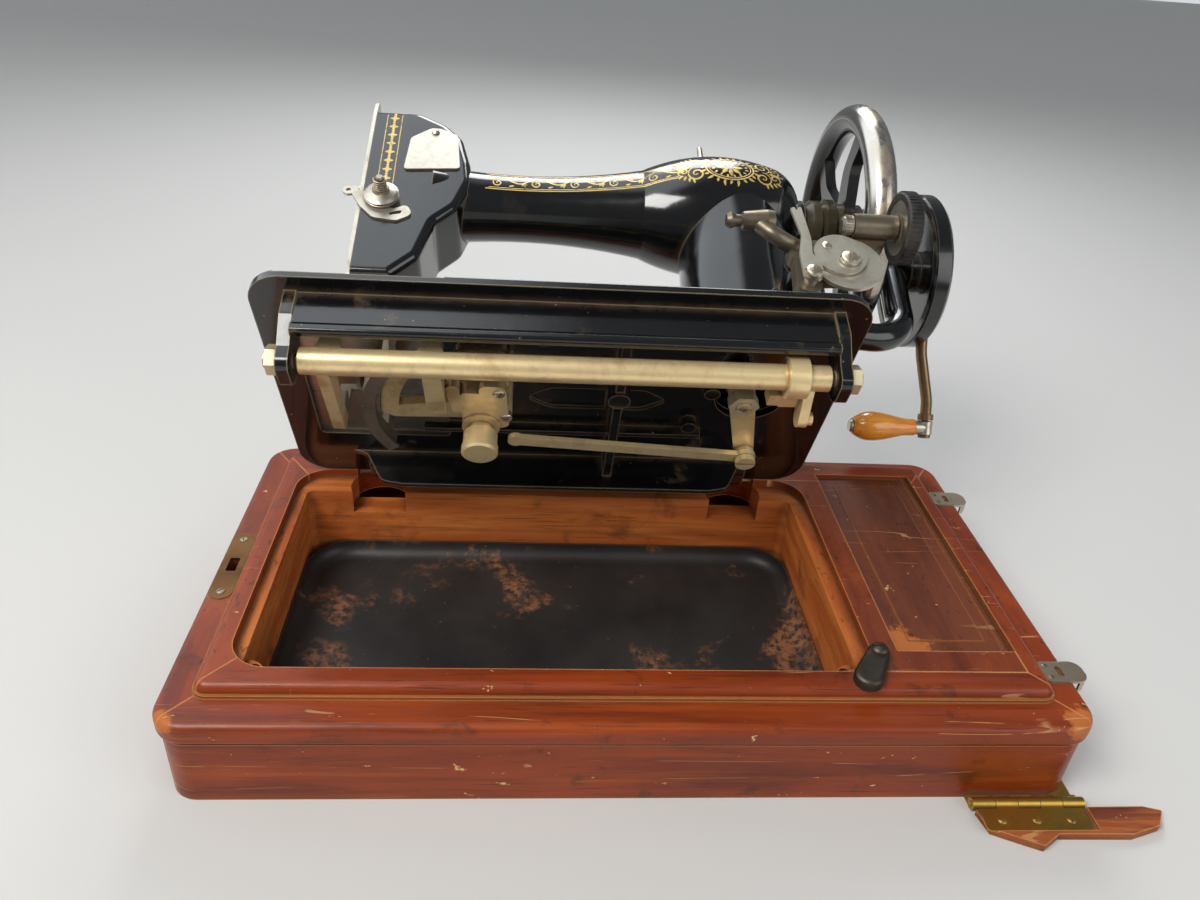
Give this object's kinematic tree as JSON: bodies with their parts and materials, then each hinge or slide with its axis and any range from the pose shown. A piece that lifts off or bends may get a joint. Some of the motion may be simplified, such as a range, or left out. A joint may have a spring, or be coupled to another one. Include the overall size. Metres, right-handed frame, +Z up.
{
  "type": "sewing machine case base",
  "caption": "Wooden case base for a portable sewing machine, with the hand-cranked machine laid back on its hinge like a lid.",
  "frame": {"origin": "centre of the underside of the wooden base", "axes": "+X to the right along the base, towards the crank; +Y to the back, towards the machine hinge; +Z up"},
  "size_m": [0.4785, 0.3971, 0.2694],
  "materials": {
    "varnished_wood": "varnished, worn",
    "bare_wood": "bare",
    "black_sheet": "matte black with rust",
    "black_japan": "gloss black",
    "bright_steel": "worn bright",
    "stained_nickel": "stained nickel",
    "chrome_rim": "polished",
    "old_brass": "tarnished",
    "bronze_plate": "dark bronze",
    "iron": "dark, dull",
    "rubber": "ribbed",
    "lacquered_grip": "orange lacquer"
  },
  "bodies": {
    "base": {"front_board": "varnished_wood", "right_board": "varnished_wood", "back_board": "varnished_wood", "left_board": "varnished_wood", "bottom_panel": "bare_wood", "front_rail": "varnished_wood", "right_rail": "varnished_wood", "back_rail": "varnished_wood", "left_rail": "varnished_wood", "divider_rail": "varnished_wood", "well_front_wall": "bare_wood", "well_left_wall": "bare_wood", "well_back_wall": "bare_wood", "well_right_wall": "bare_wood", "drip_tray": "black_sheet", "corner_posts": "bare_wood", "hinge_fittings": "bright_steel", "lock_plate": "bronze_plate", "catch_plates": "bright_steel", "turn_button_screw": "iron", "butt_leaf": "old_brass"},
    "lid": {"compartment_lid": "varnished_wood"},
    "button": {"turn_button": "iron"},
    "flap": {"flap_leaf": "old_brass", "flap_moulding": "varnished_wood"},
    "machine": {"bed": "black_japan", "carrier_bracket": "stained_nickel", "shuttle_race": "stained_nickel", "pivot_screws": "stained_nickel", "arm": "black_japan", "face_plate": "bright_steel", "head_cover": "bright_steel", "crank_bracket": "black_japan", "spool_pin": "bright_steel", "tension_unit": "bright_steel", "needle_plate": "bright_steel", "rear_slide": "bright_steel"},
    "feed_shaft": {"rock_shaft": "stained_nickel", "feed_dog": "bright_steel"},
    "shuttle_arm": {"shuttle_carrier": "stained_nickel", "shuttle": "bright_steel"},
    "under_lever": {"shuttle_lever": "stained_nickel"},
    "pitman_rod": {"pitman": "stained_nickel"},
    "plate_slide": {"front_slide": "bright_steel"},
    "needle": {"needle_bar": "bright_steel"},
    "presser": {"presser_bar": "bright_steel"},
    "lifter": {"presser_lifter": "bright_steel"},
    "take_up": {"take_up_lever": "bright_steel"},
    "wheel": {"handwheel": "chrome_rim", "arm_shaft": "bright_steel"},
    "clutch": {"clutch_nut": "bright_steel"},
    "crank": {"crank_wheel": "black_japan", "crank_arm": "old_brass"},
    "knuckle": {"grip_knuckle": "bright_steel"},
    "grip": {"crank_grip": "lacquered_grip"},
    "winder": {"winder_frame": "stained_nickel"},
    "winder_shaft": {"winder_spindle": "bright_steel", "winder_ring": "rubber"},
    "cam": {"winder_cam": "bright_steel"},
    "forked_lever": {"winder_lever": "bright_steel"}
  },
  "joints": [
    {"name": "machine_tilt", "type": "hinge", "parent": "base", "child": "machine", "pos_m": [-0.0378, 0.0849, 0.0535], "axis": [1, 0, 0], "range_deg": [0, 65.4]},
    {"name": "compartment_lid_hinge", "type": "hinge", "parent": "base", "child": "lid", "pos_m": [0.1902, 0.0081, 0.0523], "axis": [0, 1, 0], "range_deg": [0, 85]},
    {"name": "turn_button_swing", "type": "hinge", "parent": "base", "child": "button", "pos_m": [0.119, -0.0786, 0.059], "axis": [0, 0, 1], "range_deg": [-90, 30]},
    {"name": "front_flap_hinge", "type": "hinge", "parent": "base", "child": "flap", "pos_m": [0.1925, -0.1224, 0.0031], "axis": [-1, 0, 0], "range_deg": [0, 80]},
    {"name": "handwheel_turn", "type": "hinge", "parent": "machine", "child": "wheel", "pos_m": [0.145, 0.17427, 0.1934], "axis": [1, 0, 0], "continuous": true},
    {"name": "clutch_nut_turn", "type": "hinge", "parent": "wheel", "child": "clutch", "pos_m": [0.161, 0.17427, 0.1934], "axis": [1, 0, 0], "range_deg": [-30, 90]},
    {"name": "crank_turn", "type": "hinge", "parent": "machine", "child": "crank", "pos_m": [0.192, 0.15786, 0.17159], "axis": [1, 0, 0], "continuous": true},
    {"name": "handle_fold", "type": "hinge", "parent": "crank", "child": "knuckle", "pos_m": [0.209, 0.11573, 0.0787], "axis": [0, -0.4131, -0.9107], "range_deg": [0, 180]},
    {"name": "grip_spin", "type": "hinge", "parent": "knuckle", "child": "grip", "pos_m": [0.18, 0.11573, 0.0787], "axis": [1, 0, 0], "continuous": true},
    {"name": "needle_bar_stroke", "type": "slide", "parent": "machine", "child": "needle", "axis": [0, -0.9092, -0.4163], "range_m": [0, 0.025]},
    {"name": "presser_bar_lift", "type": "slide", "parent": "machine", "child": "presser", "axis": [0, 0.9092, 0.4163], "range_m": [0, 0.006]},
    {"name": "presser_lifter_turn", "type": "hinge", "parent": "machine", "child": "lifter", "pos_m": [-0.146, 0.14005, 0.14804], "axis": [0, -0.4163, 0.9092], "range_deg": [0, 60]},
    {"name": "take_up_swing", "type": "hinge", "parent": "machine", "child": "take_up", "pos_m": [-0.162, 0.17537, 0.18621], "axis": [1, 0, 0], "range_deg": [-15, 15]},
    {"name": "front_slide_out", "type": "slide", "parent": "machine", "child": "plate_slide", "axis": [0, 0.4163, -0.9092], "range_m": [-0.03, 0]},
    {"name": "feed_shaft_rock", "type": "hinge", "parent": "machine", "child": "feed_shaft", "pos_m": [-0.036, -0.0041, 0.17223], "axis": [1, 0, 0], "range_deg": [-2.5, 2.5]},
    {"name": "shuttle_lever_swing", "type": "hinge", "parent": "machine", "child": "under_lever", "pos_m": [0.054, 0.01316, 0.15374], "axis": [0, 0.9092, 0.4163], "range_deg": [-6, 6]},
    {"name": "pitman_turn", "type": "hinge", "parent": "under_lever", "child": "pitman_rod", "pos_m": [0.065, 0.02901, 0.1071], "axis": [0, 0.9092, 0.4163], "range_deg": [-5, 5]},
    {"name": "shuttle_swing", "type": "hinge", "parent": "machine", "child": "shuttle_arm", "pos_m": [-0.081, 0.02698, 0.12596], "axis": [0, 0.9092, 0.4163], "range_deg": [-6, 6]},
    {"name": "winder_swing", "type": "hinge", "parent": "machine", "child": "winder", "pos_m": [0.092, 0.07235, 0.20943], "axis": [0, -0.4163, 0.9092], "range_deg": [0, 2.8]},
    {"name": "winder_spin", "type": "hinge", "parent": "winder", "child": "winder_shaft", "pos_m": [0.147, 0.08133, 0.22344], "axis": [1, 0, 0], "continuous": true},
    {"name": "winder_cam_turn", "type": "hinge", "parent": "winder", "child": "cam", "pos_m": [0.1115, 0.05762, 0.21038], "axis": [0, -0.4163, 0.9092], "range_deg": [-10, 10]},
    {"name": "winder_lever_swing", "type": "hinge", "parent": "winder", "child": "forked_lever", "pos_m": [0.0895, 0.04455, 0.2077], "axis": [0, -0.4163, 0.9092], "range_deg": [-3, 3]}
  ],
  "couplings": [
    {"joint": "crank_turn", "follows": "handwheel_turn", "ratio": 0.33333}
  ]
}
